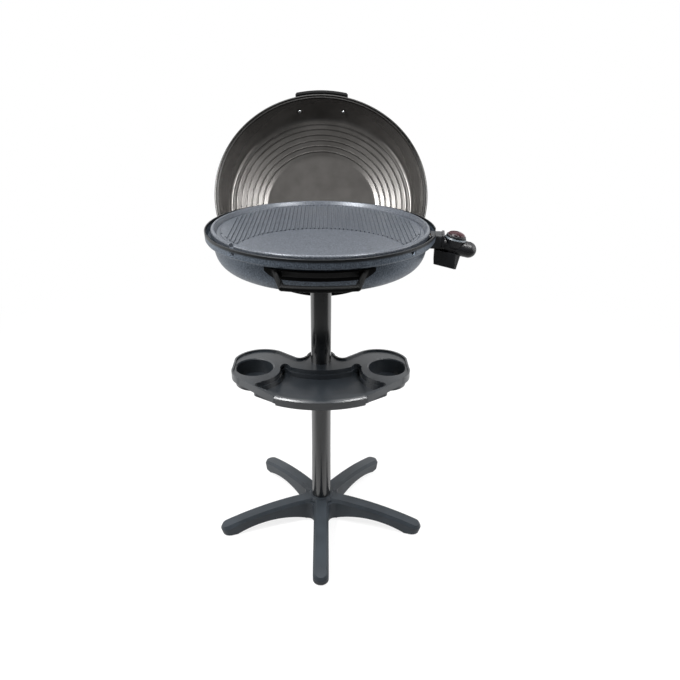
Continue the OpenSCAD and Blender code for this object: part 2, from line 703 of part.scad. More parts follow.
module heating_element() {
    bend_y = terminal_y + heater_bend;
    bend_x = sqrt(pow(heater_r + heater_bend, 2) - pow(bend_y, 2));
    start = atan2(bend_y, bend_x);
    mid = (heater_r + heater_in) / 2;
    cold = reflector_r + 0.5;
    color("#8b6f5c") at_control() {
        heater_arc([0, 0], heater_in, -heater_turn, heater_turn);
        heater_arc([0, 0], heater_r, start, heater_turn);
        heater_arc([0, 0], heater_r, -heater_turn, -start);
        for (s = [-1, 1]) {
            u0 = s > 0 ? heater_turn : 180 - heater_turn;
            heater_arc([mid * cos(heater_turn), s * mid * sin(heater_turn)], (heater_r - heater_in) / 2,
                u0, u0 + 180, 0.05);
            heater_arc([bend_x, s * bend_y], heater_bend, s > 0 ? 180 + start : 90,
                s > 0 ? 270 : 180 - start, 0.05);
            translate([bend_x, s * terminal_y, heater_z]) rotate([0, 90, 0])
                cylinder(r = heater_d / 2, h = cold - bend_x);
            translate([cold - eps, s * terminal_y, heater_z]) rotate([0, 90, 0])
                cylinder(r = terminal_d / 2, h = shroud_x[1] - 3 - cold);
        }
    }
}
module element_clamps() {
    t = 1.2;
    r = heater_d / 2 + 0.3;
    foot = 14;
    low = heater_z - heater_d / 2 - run_gap;
    color("silver") at_control() for (c = clamp_at) turn(c[1]) translate([c[0], 5, 0]) difference() {
        rotate([90, 0, 0]) linear_extrude(10) polygon([
            [-foot, plate_z], [-r, plate_z], [-r, low], [r, low], [r, plate_z], [foot, plate_z],
            [foot, plate_z - t], [r + t, plate_z - t], [r + t, low - t], [-r - t, low - t],
            [-r - t, plate_z - t], [-foot, plate_z - t]]);
        for (s = [-1, 1]) translate([s * clamp_foot, -5, plate_z - 3]) cylinder(r = screw_r + seat_gap, h = 6);
    }
}
module clamp_screws() {
    color("silver") at_control() for (c = clamp_at) turn(c[1]) for (s = [-1, 1])
        translate([c[0] + s * clamp_foot, 0, plate_z - 1.2]) rotate([180, 0, 0]) pan_screw(screw_r, 5);
}
module probe_sleeve() {
    color("#9a9da0") at_control() translate([heater_in + 40, 0, heater_z]) rotate([0, 90, 0])
        ring(probe_d / 2 + run_gap, heater_d / 2, plate_r - 14 - heater_in - 40);
}
module terminal_shroud() {
    // Moulded mouth on the cooking plate's edge: the control unit plugs into it.
    x0 = shroud_x[0];
    x1 = shroud_x[1];
    h = shroud_top - shroud_foot;
    zc = (shroud_top + shroud_foot) / 2;
    tab_x = reflector_r + 2.5;
    color("#4a4e52") at_control() difference() {
        union() {
            translate([x0, 0, zc]) rotate([90, 0, 90]) linear_extrude(x1 - x0) rounded(shroud_w, h, 5);
            for (s = [-1, 1]) translate([tab_x, s * shroud_tab_y - shroud_tab_w / 2, plate_z - 12])
                cube([x0 - tab_x + 3, shroud_tab_w, 12]);
        }
        translate([x0 + shroud_t, 0, zc]) rotate([90, 0, 90]) linear_extrude(x1 - x0)
            rounded(shroud_w - 2 * shroud_t, h - 2 * shroud_t, 3);
        for (y = [-terminal_y, 0, terminal_y]) translate([x0 - 2, y, heater_z]) rotate([0, 90, 0])
            cylinder(r = terminal_d / 2 + 0.9, h = shroud_t + 4);
        for (s = [-1, 1]) translate([shroud_tab_x, s * shroud_tab_y, plate_z - 13])
            cylinder(r = screw_r + seat_gap, h = 14);
    }
}
module shroud_screws() {
    color("silver") at_control() for (s = [-1, 1])
        translate([shroud_tab_x, s * shroud_tab_y, plate_z - 12]) rotate([180, 0, 0])
            pan_screw(screw_r, 15.5);
}

// ---- lid hinges ----------------------------------------------------------------------------

stop_r = 4;
stop_out = 22;                     // distance of a stop from the pivot, along the arm
// Where the stops stand, as [y, z] from the pivot: one under the open arm, one before the closed arm.
open_stop = [stop_out * sin(lid_swing) + (arm_w / 2 + stop_r + 0.3) * cos(lid_swing),
             stop_out * cos(lid_swing) - (arm_w / 2 + stop_r + 0.3) * sin(lid_swing)];
closed_stop = [-(arm_w / 2 + stop_r + 0.3), stop_out];

module hinge_bracket() {
    // Right-hand bracket, drawn on +X. It is seated on the bowl's curved wall.
    plate = 7;
    wall_x = sqrt(pow(bowl_at(hinge_z), 2) - pow(hinge_back, 2)) - 12;
    color("#26282a") difference() {
        union() {
            translate([bracket_x, hinge_back, hinge_z]) rotate([90, 0, -90]) mirror([1, 0, 0])
                linear_extrude(plate) {
                    circle(r = 15);
                    polygon([[closed_stop[0] - 4, closed_stop[1] + 4], [closed_stop[0] + 6, closed_stop[1] + 4],
                             [15, 4], [open_stop[0] + 5, open_stop[1] - 4], [open_stop[0] - 5, open_stop[1] - 4],
                             [closed_stop[0] - 4, closed_stop[1] - 6]]);
                }
            translate([wall_x, hinge_back, hinge_z]) rotate([0, 90, 0])
                cylinder(r = 14, h = bracket_x - wall_x - 1);
            for (z = bracket_screw_z) on_bowl(bracket_screw_az(z), z) translate([0, 0, -8])
                cylinder(r = 7, h = 20);
            translate([wall_x - 6, hinge_back - 2.5, rim_z - 82]) cube([bracket_x - wall_x, 5, 46]);
            for (s = [open_stop, closed_stop]) translate([bracket_x - 1, hinge_back + s[0], hinge_z + s[1]])
                rotate([0, 90, 0]) cylinder(r = stop_r, h = arm_t + 1);
        }
        bowl_solid(seat_gap);
        translate([0, 0, body_top - 0.5]) cylinder(r = bowl_r + 0.4, h = 60);
        translate([bracket_x - 30, hinge_back, hinge_z]) rotate([0, 90, 0])
            cylinder(r = pin_r + run_gap, h = 40);
        for (z = bracket_screw_z) on_bowl(bracket_screw_az(z), z)
            cylinder(r = screw_r + run_gap, h = 22, center = true);
    }
}
module hinge_bracket_right() { hinge_bracket(); }
module hinge_bracket_left() { mirror([1, 0, 0]) hinge_bracket(); }
module bracket_screws() {
    color("silver") for (m = [0, 1], z = bracket_screw_z) mirror([m, 0, 0])
        on_bowl(bracket_screw_az(z), z) translate([0, 0, -bowl_wall - 0.65]) rotate([180, 0, 0])
            pan_screw(screw_r, bowl_wall + 8);
}
module hinge_pins() {
    color("silver") for (s = [0, 1]) mirror([s, 0, 0])
        translate([bracket_x - 29, hinge_back, hinge_z]) rotate([0, 90, 0]) {
            cylinder(r = pin_r, h = 29 + 0.5 + arm_t + 0.5);
            translate([0, 0, 29 + 0.5 + arm_t + 0.3]) cylinder(r1 = pin_r + 3, r2 = pin_r + 1.5, h = 2.6);
        }
}
arm_rivet_y = 6;
module hinge_arm() {
    // Drawn for the closed lid, on +X: an upright blade with a foot under the lid's rim.
    foot_w = 11;
    top = lid_z;
    color("#26282a") difference() {
        union() {
            translate([arm_x, hinge_back, hinge_z]) rotate([0, 90, 0]) cylinder(r = arm_w / 2, h = arm_t);
            translate([arm_x, hinge_back - arm_w / 2, hinge_z]) cube([arm_t, arm_w, top - hinge_z]);
            translate([arm_x, hinge_back - arm_w / 2, top - 3]) cube([foot_w, arm_w, 3]);
        }
        translate([arm_x - 1, hinge_back, hinge_z]) rotate([0, 90, 0]) cylinder(r = pin_r + run_gap, h = arm_t + 2);
        for (s = [-1, 1]) translate([arm_x + 8, hinge_back + s * arm_rivet_y, top - 5])
            cylinder(r = 1.5 + run_gap, h = 8);
    }
}
module hinge_arm_right() { lid_pose() hinge_arm(); }
module hinge_arm_left() { lid_pose() mirror([1, 0, 0]) hinge_arm(); }
module arm_rivets() {
    color("silver") lid_pose() for (m = [0, 1]) mirror([m, 0, 0]) for (s = [-1, 1])
        translate([arm_x + 8, hinge_back + s * arm_rivet_y, lid_z - 3]) {
            cylinder(r = 1.5, h = 3 + lid_t + 2.5);
            translate([0, 0, -1.2]) cylinder(r1 = 2, r2 = 2.8, h = 1.2);
        }
}

// ---- lid -----------------------------------------------------------------------------------

wall_top = [lid_in - 20, lid_ledge];
function lid_wall(n) = [for (i = [0:n]) let (f = i / n)
    [lid_in + (wall_top[0] - lid_in) * pow(f, 1.6), 2 + (wall_top[1] - 5) * sin(90 * f) * 0.35
        + (wall_top[1] - 5) * f * 0.65]];
function lid_rings() = [for (i = [0:len(ring_r) - 1])
    let (d = lid_ledge + 1 + i * (ring_step + 1.1))
    each [[ring_r[i], d], [ring_r[i] - 1.4, d + ring_step * 0.75], [ring_r[i] - 3.4, d + ring_step]]];
inner_lid = concat(lid_wall(8), [[wall_top[0] - 3, lid_ledge]], lid_rings(),
                   [for (i = [1:6]) let (f = i / 6) [(ring_r[5] - 4) * (1 - f),
                       lid_depth - (lid_depth - lid_ledge - 1 - 6 * (ring_step + 1.1)) * (1 - f) * (1 - f)]]);

lid_screw_x = 62;
lid_screw_h = 45;                  // height of the handle's screws above the rim
lid_handle_r = lid_r + 25;
function lid_wall_r(h) = lid_in - 20 * pow(h / lid_ledge, 1.6) + lid_t;

module lid_shell() {
    n = len(inner_lid);
    color("#57544f") lid_pose() translate([0, 0, lid_z]) difference() {
        rotate_extrude() polygon(concat(
            inner_lid,
            [[0, lid_depth + lid_t]],
            [for (i = [n - 2:-1:0]) [inner_lid[i][0] + lid_t, inner_lid[i][1] + lid_t]],
            [[lid_in + 3, 4.8], [lid_r - 4, 4.8]],
            arc([lid_r - 1.8, 2.4], 2.4, 90, -90, 6),
            [[lid_r - 3.4, 0], [lid_r - 3.8, 3.2], [lid_in + 3.2, 3.2], [lid_in + 2.6, 0], [lid_in + 0.4, 0]]));
        for (s = [-1, 1]) translate([s * lid_screw_x, 0, lid_screw_h]) turn(-90) rotate([0, 90, 0])
            cylinder(r = screw_r + seat_gap, h = lid_r + 10);
        for (m = [0, 1]) mirror([m, 0, 0]) for (s = [-1, 1])
            translate([arm_x + 8, hinge_back + s * arm_rivet_y, -2]) cylinder(r = 1.5 + run_gap, h = 12);
    }
}
module lid_handle() {
    // Curved grip on two feet, drawn for the closed lid on its front.
    half = 13.2;
    grip_h = [20, 36];
    foot_w = 17;
    bar = 11;
    color("#141516") lid_pose() translate([0, 0, lid_z]) difference() {
        union() {
            turn(-90 - half) rotate_extrude(angle = 2 * half)
                translate([lid_handle_r - bar / 2, (grip_h[0] + grip_h[1]) / 2])
                    rounded(bar, grip_h[1] - grip_h[0], 4);
            for (s = [-1, 1]) hull() {
                turn(-90 + s * half) translate([lid_handle_r - bar / 2, 0, (grip_h[0] + grip_h[1]) / 2])
                    for (h = [-4, 4]) translate([0, 0, h]) sphere(r = 3.7, $fn = 32);
                translate([s * (lid_screw_x + 1), -lid_in + 14, lid_screw_h]) rotate([-90, 0, 0])
                    cylinder(r = foot_w / 2, h = 8, $fn = 32);
            }
        }
        rotate_extrude() polygon(concat([for (p = inner_lid) [p[0] + lid_t + seat_gap, p[1] + lid_t]],
            [[0, lid_depth], [0, 0], [inner_lid[0][0] + lid_t, 0]]));
        for (s = [-1, 1]) translate([s * lid_screw_x, -lid_in - 4, lid_screw_h]) rotate([-90, 0, 0])
            cylinder(r = screw_r + run_gap, h = 30);
    }
}
module lid_handle_screws() {
    wall_y = sqrt(pow(lid_wall_r(lid_screw_h) - lid_t, 2) - pow(lid_screw_x, 2));
    color("silver") lid_pose() for (s = [-1, 1])
        translate([s * lid_screw_x, -wall_y + 0.9, lid_z + lid_screw_h]) rotate([-90, 0, 0])
            pan_screw(screw_r, 9);
}

// ---- control unit --------------------------------------------------------------------------

nose_gap = 1;
nose_x = [shroud_x[0] + shroud_t + 1, shroud_x[1] + pass_gap];
module control_housing() {
    zc = (shroud_top + shroud_foot) / 2;
    nose_w = shroud_w - 2 * shroud_t - 2 * nose_gap;
    nose_h = shroud_top - shroud_foot - 2 * shroud_t - 2 * nose_gap;
    color("#1c1d1f") difference() {
        union() {
            at_control() {
                translate([nose_x[0], 0, zc]) rotate([90, 0, 90])
                    linear_extrude(nose_x[1] - nose_x[0] + 2) rounded(nose_w, nose_h, 3);
                translate([nose_x[1], 0, zc + 1]) rotate([90, 0, 90]) linear_extrude(5.2)
                    rounded(46, shroud_top - shroud_foot + 2, 6);
            }
            control_axis() {
                translate([-4, 0, 0]) rotate([0, 90, 0]) cylinder(r = grip_r, h = grip_len + 4);
                translate([grip_len, 0, 0]) sphere(r = grip_r);
                translate([knob_x, 0, 2]) cylinder(r1 = knob_r - 2, r2 = knob_r + 2.5, h = knob_base - 2);
            }
        }
        // Parting face towards the lower box.
        intersection() {
            control_axis() translate([-40, -40, -box_drop - 60]) cube([150, 80, 60]);
            at_control() translate([control_x - 60, -50, control_z - 80]) cube([box_x[1] - control_x + 60, 100, 160]);
        }
        at_control() translate([nose_x[0] - 30, -40, shroud_foot - 40])
            cube([30, 80, 80]);
        for (y = [-terminal_y, terminal_y]) at_control() translate([nose_x[0] - 1, y, heater_z]) rotate([0, 90, 0])
            cylinder(r = terminal_d / 2 + 1.4 + seat_gap, h = nose_x[1] - nose_x[0] + 1);
        at_control() translate([nose_x[0] - 1, 0, heater_z]) rotate([0, 90, 0]) cylinder(r = probe_d / 2 + seat_gap, h = 16);
        control_axis() {
            translate([knob_x, 0, knob_base - 12]) cylinder(r = 3 + run_gap, h = 20);
            translate([grip_len - 2, -5, grip_r - 2]) cube([4, 10, 6]);
            for (p = housing_screw_at) translate([p[0], p[1], -box_drop - 1]) cylinder(r = screw_r + run_gap, h = 9);
        }
    }
}
housing_screw_at = [[4, -9], [4, 9], [32, 0]];
module control_box_shape(inset) {
    // Side outline, cut to a plan with chamfered outer corners.
    top = [for (x = box_x) control_z - (x - control_x) * tan(control_tilt) - box_drop / cos(control_tilt)];
    chamfer = 12;
    w = box_w / 2 - inset;
    intersection() {
        translate([0, w, 0]) rotate([90, 0, 0]) linear_extrude(2 * w) polygon([
            [box_x[0] + inset, top[0]], [box_x[0] + inset, top[0] - 33 + inset],
            [box_x[1] - 8 - inset, top[1] - 32.5 + inset], [box_x[1] - inset, top[1]]]);
        translate([0, 0, control_z - 100]) linear_extrude(200) polygon([
            [box_x[0] - 1, -w], [box_x[1] - chamfer, -w], [box_x[1] - inset + 1, -w + chamfer],
            [box_x[1] - inset + 1, w - chamfer], [box_x[1] - chamfer, w], [box_x[0] - 1, w]]);
    }
}
gland_x = (box_x[0] + box_x[1]) / 2 - 4;
gland_z = control_z - 30;
gland_r = 7;
gland_hole_r = 4.2;
module control_box() {
    color("#0f1011") difference() {
        at_control() difference() {
            control_box_shape(0);
            control_box_shape(2.4);
            translate([gland_x, box_w / 2, gland_z]) rotate([90, 0, 0]) cylinder(r = gland_r + seat_gap, h = 10, center = true);
        }
        control_axis() for (p = housing_screw_at) translate([p[0], p[1], -box_drop - 50]) cylinder(r = screw_r + 0.3, h = 60);
    }
}
module housing_screws() {
    // Long screws from under the box up into the housing.
    color("silver") control_axis() for (p = housing_screw_at)
        translate([p[0], p[1], -box_drop - 34]) rotate([180, 0, 0]) pan_screw(screw_r, 40);
}
module cord_gland() {
    color("#0c0c0d") at_control() translate([gland_x, box_w / 2, gland_z]) rotate([90, 0, 0]) difference() {
        union() {
            translate([0, 0, -2]) cylinder(r = gland_r, h = 6);
            translate([0, 0, -4]) cylinder(r1 = gland_r, r2 = gland_r + 2, h = 4 - seat_gap);
        }
        translate([0, 0, -6]) cylinder(r = gland_hole_r, h = 12);
    }
}
module plug_contacts() {
    color("#b08d57") for (y = [-terminal_y, terminal_y]) at_control()
        translate([nose_x[0] + 0.5, y, heater_z]) rotate([0, 90, 0])
            ring(terminal_d / 2 + run_gap, terminal_d / 2 + 1.4, nose_x[1] - nose_x[0] - 1);
}
module thermostat_probe() {
    color("silver") at_control() translate([heater_in + 50, 0, heater_z]) rotate([0, 90, 0]) {
        translate([0, 0, probe_d / 2]) cylinder(r = probe_d / 2, h = nose_x[0] + 14 - heater_in - 50 - probe_d / 2);
        translate([0, 0, probe_d / 2]) sphere(r = probe_d / 2);
    }
}
module dial_ring() {
    color("#5a6066") control_axis() translate([knob_x, 0, knob_base]) difference() {
        cylinder(r1 = knob_r + 2.5, r2 = knob_r + 1, h = 3);
        translate([0, 0, -1]) cylinder(r = knob_r - 4, h = 5);
    }
}
module knob_spindle() {
    color("silver") control_axis() translate([knob_x, 0, knob_base - 11]) cylinder(r = 3, h = 14 + pass_gap + 1.5);
}
module dial_knob() {
    skirt = 4.4;
    color("#17181a") control_axis() translate([knob_x, 0, knob_base + 3 + pass_gap]) difference() {
        rotate_extrude() polygon([[0, 0], [knob_r - 0.6, 0], [knob_r, 0.8], [knob_r - 0.8, skirt],
            [knob_r - 3, skirt + 1], [knob_r - 3, skirt - 0.6], [0, skirt - 0.6]]);
        translate([0, 0, -1]) cylinder(r = 3 + seat_gap, h = 2.6);
        for (i = [0:23]) turn(i * 15) translate([knob_r + 1.2, 0, -1]) cylinder(r = 1.8, h = skirt + 3);
    }
}
module dial_cap() {
    // Domed lens over the knob, with a raised pointer.
    base = knob_r - 3 - seat_gap;
    rise = 7.9;
    color("#3a1518") control_axis() translate([knob_x, 0, knob_base + 3 + pass_gap + 3.8]) {
        rotate_extrude() polygon(concat([[0, 0], [base, 0]],
            [for (i = [0:10]) let (a = 9 * i) [base * cos(a), 1.2 + rise * sin(a)]]));
        intersection() {
            translate([0, 0, 0]) rotate_extrude() polygon(concat([[0, 0], [base, 0]],
                [for (i = [0:10]) let (a = 9 * i) [base * cos(a), 1.9 + rise * sin(a)]]));
            translate([-base, -1.2, 1]) cube([base * 1.2, 2.4, rise + 4]);
        }
    }
}

star_base();
foot_pads();
base_bolt();
base_washer();
tube_insert();
lower_tube();
tube_coupler();
upper_tube();
shelf();
shelf_collar();
collar_screw();
column_socket();
socket_screws();
socket_lock_screw();
bowl();
support_brackets();
heat_reflector();
tray_rails();
grill_plate();
heating_element();
element_clamps();
clamp_screws();
probe_sleeve();
terminal_shroud();
shroud_screws();
front_handle();
handle_screws();
hinge_bracket_left();
hinge_bracket_right();
bracket_screws();
hinge_pins();
lid_shell();
lid_handle();
lid_handle_screws();
hinge_arm_left();
hinge_arm_right();
arm_rivets();
drip_tray();
control_housing();
control_box();
housing_screws();
plug_contacts();
thermostat_probe();
cord_gland();
dial_ring();
knob_spindle();
dial_knob();
dial_cap();
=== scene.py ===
"""Finishes, light and camera for the electric stand grill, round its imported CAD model.

A size whose name ends in _mm, or that stands under a heading that says mm, is in millimetres.
Everything else is in metres.
"""
import json
import math

import bmesh
import bpy
import numpy
from mathutils import Matrix, Vector


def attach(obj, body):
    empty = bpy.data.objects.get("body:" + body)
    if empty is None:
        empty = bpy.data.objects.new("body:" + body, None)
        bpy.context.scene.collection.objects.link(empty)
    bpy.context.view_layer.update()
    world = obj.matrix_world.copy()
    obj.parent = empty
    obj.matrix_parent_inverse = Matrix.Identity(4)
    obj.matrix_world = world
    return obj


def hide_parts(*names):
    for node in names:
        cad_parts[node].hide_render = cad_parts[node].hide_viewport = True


MM = 0.001

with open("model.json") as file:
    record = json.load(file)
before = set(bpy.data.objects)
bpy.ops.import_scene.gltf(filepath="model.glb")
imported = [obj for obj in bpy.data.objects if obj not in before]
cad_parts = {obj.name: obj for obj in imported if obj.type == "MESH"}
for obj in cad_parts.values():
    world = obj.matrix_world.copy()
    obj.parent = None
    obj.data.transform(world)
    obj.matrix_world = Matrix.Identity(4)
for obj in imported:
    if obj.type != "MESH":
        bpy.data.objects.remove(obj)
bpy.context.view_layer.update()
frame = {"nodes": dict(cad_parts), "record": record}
scene = bpy.context.scene


# ---- camera --------------------------------------------------------------------------------

LENS, SENSOR = 34.32, 36.0                       # in mm
EYE = Vector((10.37, -1456.90, 1189.06)) * MM
PITCH_DOWN, YAW, ROLL = 0.425, 0.025, 0.011      # in radians


def aim_camera():
    """Sets the camera at standing height in front of the grill, looking down at it."""
    ahead = Vector((math.sin(YAW) * math.cos(PITCH_DOWN), math.cos(YAW) * math.cos(PITCH_DOWN),
                    -math.sin(PITCH_DOWN)))
    level = Vector((math.cos(YAW), -math.sin(YAW), 0))
    upright = level.cross(ahead)
    right = level * math.cos(ROLL) + upright * math.sin(ROLL)
    up = upright * math.cos(ROLL) - level * math.sin(ROLL)
    lens = bpy.data.cameras.new("eye")
    lens.lens, lens.sensor_width = LENS, SENSOR
    camera = bpy.data.objects.new("eye", lens)
    turn = Matrix((right, up, -ahead)).transposed()
    camera.matrix_world = Matrix.Translation(EYE) @ turn.to_4x4()
    scene.collection.objects.link(camera)
    scene.camera = camera


# ---- the lid's sizes, in mm and degrees ----------------------------------------------------
# It is drawn closed. A pair is a point of its outline: radius, and height above its rim.

RIM_HEIGHT = 818.0                               # above the floor
HINGE_BACK, HINGE_HEIGHT = 146.0, 751.0          # behind the column's axis, above the floor
LID_SWING = 124.0
SHEET = 1.6
WALL_FOOT, WALL_HEAD = (273.0, 2.0), (253.0, 76.5)
WALL_BULGE = 1.6                                 # above 1, the wall leans in late
WALL_ROUNDING = 0.35                             # share of its height that follows a quarter wave
SHOULDER_CORNER = (249.6, 80.6)                  # the rounding is drawn towards it
SHOULDER = (245.0, 80.6)                         # the rings' slope starts here
FLOOR_EDGE, FLOOR_DEPTH = (152.0, 105.2), 109.0
RING_RADII = (238.0, 225.0, 210.0, 195.0, 180.0, 165.0)
BEAD_WIDTH, BEAD_HEIGHT = 5.0, 2.5               # of one pressed ring
RIM_LEDGE = [(276.0, 4.8), (280.0, 4.8)]
CURL_CENTRE, CURL_RADIUS = (282.2, 2.4), 2.4     # the rolled edge
RIM_UNDERSIDE = [(280.6, 0), (280.2, 3.2), (276.2, 3.2), (275.6, 0), (273.4, 0)]
WALL_STEPS, SHOULDER_STEPS, FLOOR_STEPS, CURL_STEPS = 12, 9, 16, 8
SLOPE_STEP, TURN_STEPS = 0.75, 192
LID_CREASE = 50.0                                # sharper folds than this stay sharp

OPENING = math.radians(-LID_SWING)
LID_FACING = (0.0, math.sin(OPENING), -math.cos(OPENING))   # the open lid's inside faces this way
RIM_PLANE = (LID_FACING[1] * HINGE_BACK + LID_FACING[2] * HINGE_HEIGHT
             + HINGE_HEIGHT - RIM_HEIGHT)        # the open rim, measured along that facing


# ---- finishes ------------------------------------------------------------------------------
# Noise sizes are in mm. The real ones are too fine to show: about 0.2 for the grain of a
# moulding, 0.05 for the flakes of a lacquer, 0.7 for the flecks of a stoved coat, 2 for the peel
# of a powder coat, 0.3 for the clouds of plating. Each is drawn as coarse as it needs to show.

NOISE_ROUGHNESS = 0.55                           # weight of each finer octave
MOULDING_CLOUD = (60.0, 1.0)                     # size, detail: slow drift of a pigment
PEEL, POWDER_CLOUD, PEEL_DEPTH = (5.0, 1.0), (30.0, 2.0), 0.006
FLAKE, LACQUER_CLOUD, FLAKE_DEPTH = (1.2, 1.0), (45.0, 2.0), 0.004
POLISH = (8.0, 2.0)
# painted shade: the bowl's band goes dark just under its rim, where the plate's edge shades it
PAINTED_RIM_SHADE = ("#14171a", 807.0, 811.0)                 # colour, and heights where it starts and is full
# painted shade: the lid's rolled edge is darkened in its colour
ROLLED_EDGE_PAINTED_SHADE = ("#1d1c1b", RIM_PLANE - 6.0, RIM_PLANE - 4.0)   # the same, along LID_FACING
COLOUR_FACTOR, COLOUR_A, COLOUR_B, MIXED_COLOUR = 0, 6, 7, 2   # sockets of a colour Mix node


def colour(hex_srgb):
    """Linear RGBA of an sRGB hex colour."""
    parts = [int(hex_srgb[i:i + 2], 16) / 255 for i in (1, 3, 5)]
    return [p / 12.92 if p <= 0.04045 else ((p + 0.055) / 1.055) ** 2.4 for p in parts] + [1.0]


def add(tree, kind, inputs=None, **settings):
    """Adds a node, sets it up, and links or fills its inputs."""
    made = tree.nodes.new(kind)
    for name, value in settings.items():
        setattr(made, name, value)
    for key, value in (inputs or {}).items():
        if isinstance(value, bpy.types.NodeSocket):
            tree.links.new(value, made.inputs[key])
        else:
            made.inputs[key].default_value = value
    return made


def blank_finish(name):
    """A material with an empty tree."""
    finish = bpy.data.materials.new(name)
    finish.use_nodes = True
    finish.node_tree.nodes.clear()
    return finish, finish.node_tree


def close_finish(tree, surface, **inputs):
    """Ends a finish: the shader with its surface and further inputs, then the output."""
    named = {key.replace("_", " "): value for key, value in inputs.items()}
    shader = add(tree, "ShaderNodeBsdfPrincipled", {**surface, **named})
    add(tree, "ShaderNodeOutputMaterial", {"Surface": shader.outputs[0]})


def grained(tree, grain, tints, shine, depth_mm=0.0, cloud=None, tint=None, ends=(0.3, 0.7)):
    """Colour, roughness and relief of a surface, ready for its shader.

    grain and cloud are noises, each a size and a detail. The grain moves the roughness within
    shine and gives the relief. The colour runs from one of the tints to the other between ends
    of the cloud, or of the grain if there is none, or of a socket handed in as tint.
    """
    place = add(tree, "ShaderNodeTexCoord").outputs["Object"]
    noises = [
        add(tree, "ShaderNodeTexNoise", {
            "Vector": place, "Scale": 1 / (size * MM), "Detail": detail,
            "Roughness": NOISE_ROUGHNESS,
        }).outputs["Fac"]
        for size, detail in ([grain, cloud] if cloud else [grain])
    ]
    ramp = add(tree, "ShaderNodeValToRGB", {"Fac": tint or noises[-1]})
    for stop, end, tone in zip(ramp.color_ramp.elements, ends, tints):
        stop.position, stop.color = end, colour(tone)
    surface = {
        "Base Color": ramp.outputs["Color"],
        "Roughness": add(tree, "ShaderNodeMapRange", {
            "Value": noises[0], "To Min": shine[0], "To Max": shine[1]}).outputs[0],
    }
    if depth_mm:
        surface["Normal"] = add(tree, "ShaderNodeBump", {
            "Height": noises[0], "Distance": depth_mm * MM, "Strength": 1.0}).outputs[0]
    return surface


def past_plane(tree, base, facing, tone, start_mm, end_mm):
    """The base colour, which turns to another tone between two planes across facing."""
    place = add(tree, "ShaderNodeTexCoord").outputs["Object"]
    along = add(tree, "ShaderNodeVectorMath", {0: place, 1: facing},
                operation="DOT_PRODUCT").outputs["Value"]
    share = add(tree, "ShaderNodeMapRange", {
        "Value": along, "From Min": start_mm * MM, "From Max": end_mm * MM}).outputs[0]
    mixed = add(tree, "ShaderNodeMix", {
        COLOUR_FACTOR: share, COLOUR_A: base, COLOUR_B: colour(tone)}, data_type="RGBA")
    return mixed.outputs[MIXED_COLOUR]


def moulded_plastic(name, dark, light, grain_mm, depth_mm, rough, gloss=0.4):
    """Injection-moulded plastic from a spark-eroded tool: an even grain that softens the shine."""
    finish, tree = blank_finish(name)
    surface = grained(tree, (grain_mm, 2.0), (dark, light), shine=(rough - 0.06, rough + 0.06),
                      depth_mm=depth_mm, cloud=MOULDING_CLOUD)
    close_finish(tree, surface, IOR=1.49, Specular_IOR_Level=gloss)
    return finish


def powder_coated_steel(name, dark, light, rough):
    """Baked powder paint: a faint orange-peel ripple over a hard, even colour."""
    finish, tree = blank_finish(name)
    surface = grained(tree, PEEL, (dark, light), shine=(rough - 0.04, rough + 0.05),
                      depth_mm=PEEL_DEPTH, cloud=POWDER_CLOUD)
    close_finish(tree, surface, IOR=1.6, Specular_IOR_Level=1.0)
    return finish


def speckled_coat(name, dark, light, fleck_mm, depth_mm, rough, metal, painted_shade_on_rim=False):
    """Stoved coating on die-cast aluminium: raised, glossier light flecks on a dark ground.

    Where the flag is set, painted shade darkens it along its upper edge, standing for the shadow
    under the plate's rim.
    """
    finish, tree = blank_finish(name)
    surface = grained(tree, (fleck_mm, 3.0), (dark, light), shine=(rough + 0.08, rough - 0.08),
                      depth_mm=depth_mm, ends=(0.38, 0.66))
    if painted_shade_on_rim:
        # painted shade under the plate's rim, drawn as a darker band of the coat
        surface["Base Color"] = past_plane(tree, surface["Base Color"], (0.0, 0.0, 1.0), *PAINTED_RIM_SHADE)
    close_finish(tree, surface, Metallic=metal)
    return finish


def lacquered_aluminium(name, dark, light, rough):
    """Pressed sheet under anthracite metallic lacquer: a satin mirror, with painted shade on its
    rolled edge.
    """
    finish, tree = blank_finish(name)
    surface = grained(tree, FLAKE, (dark, light), shine=(rough - 0.03, rough + 0.03),
                      depth_mm=FLAKE_DEPTH, cloud=LACQUER_CLOUD)
    # painted shade along the rolled edge
    surface["Base Color"] = past_plane(tree, surface["Base Color"], LID_FACING, *ROLLED_EDGE_PAINTED_SHADE)
    close_finish(tree, surface, Metallic=0.65)
    return finish


def bare_metal(name, dark, light, rough, grain_mm=1.0):
    """Plated or rolled metal: small clouds of slightly uneven colour and shine."""
    finish, tree = blank_finish(name)
    surface = grained(tree, (grain_mm, 2.0), (dark, light), shine=(rough - 0.07, rough + 0.07))
    close_finish(tree, surface, Metallic=1.0)
    return finish


def smoked_polycarbonate(name, deep, rim):
    """Deep red moulded polycarbonate, polished: nearly black face on, with painted red light where
    it is seen edge on.
    """
    finish, tree = blank_finish(name)
    # painted light: the colour turns red where the surface is seen edge on, standing for light
    # through the shell
    edge = add(tree, "ShaderNodeLayerWeight", {"Blend": 0.35}).outputs["Facing"]
    surface = grained(tree, POLISH, (deep, rim), shine=(0.22, 0.3), tint=edge, ends=(0.0, 0.9))
    close_finish(tree, surface, IOR=1.45, Specular_IOR_Level=0.3)
    return finish


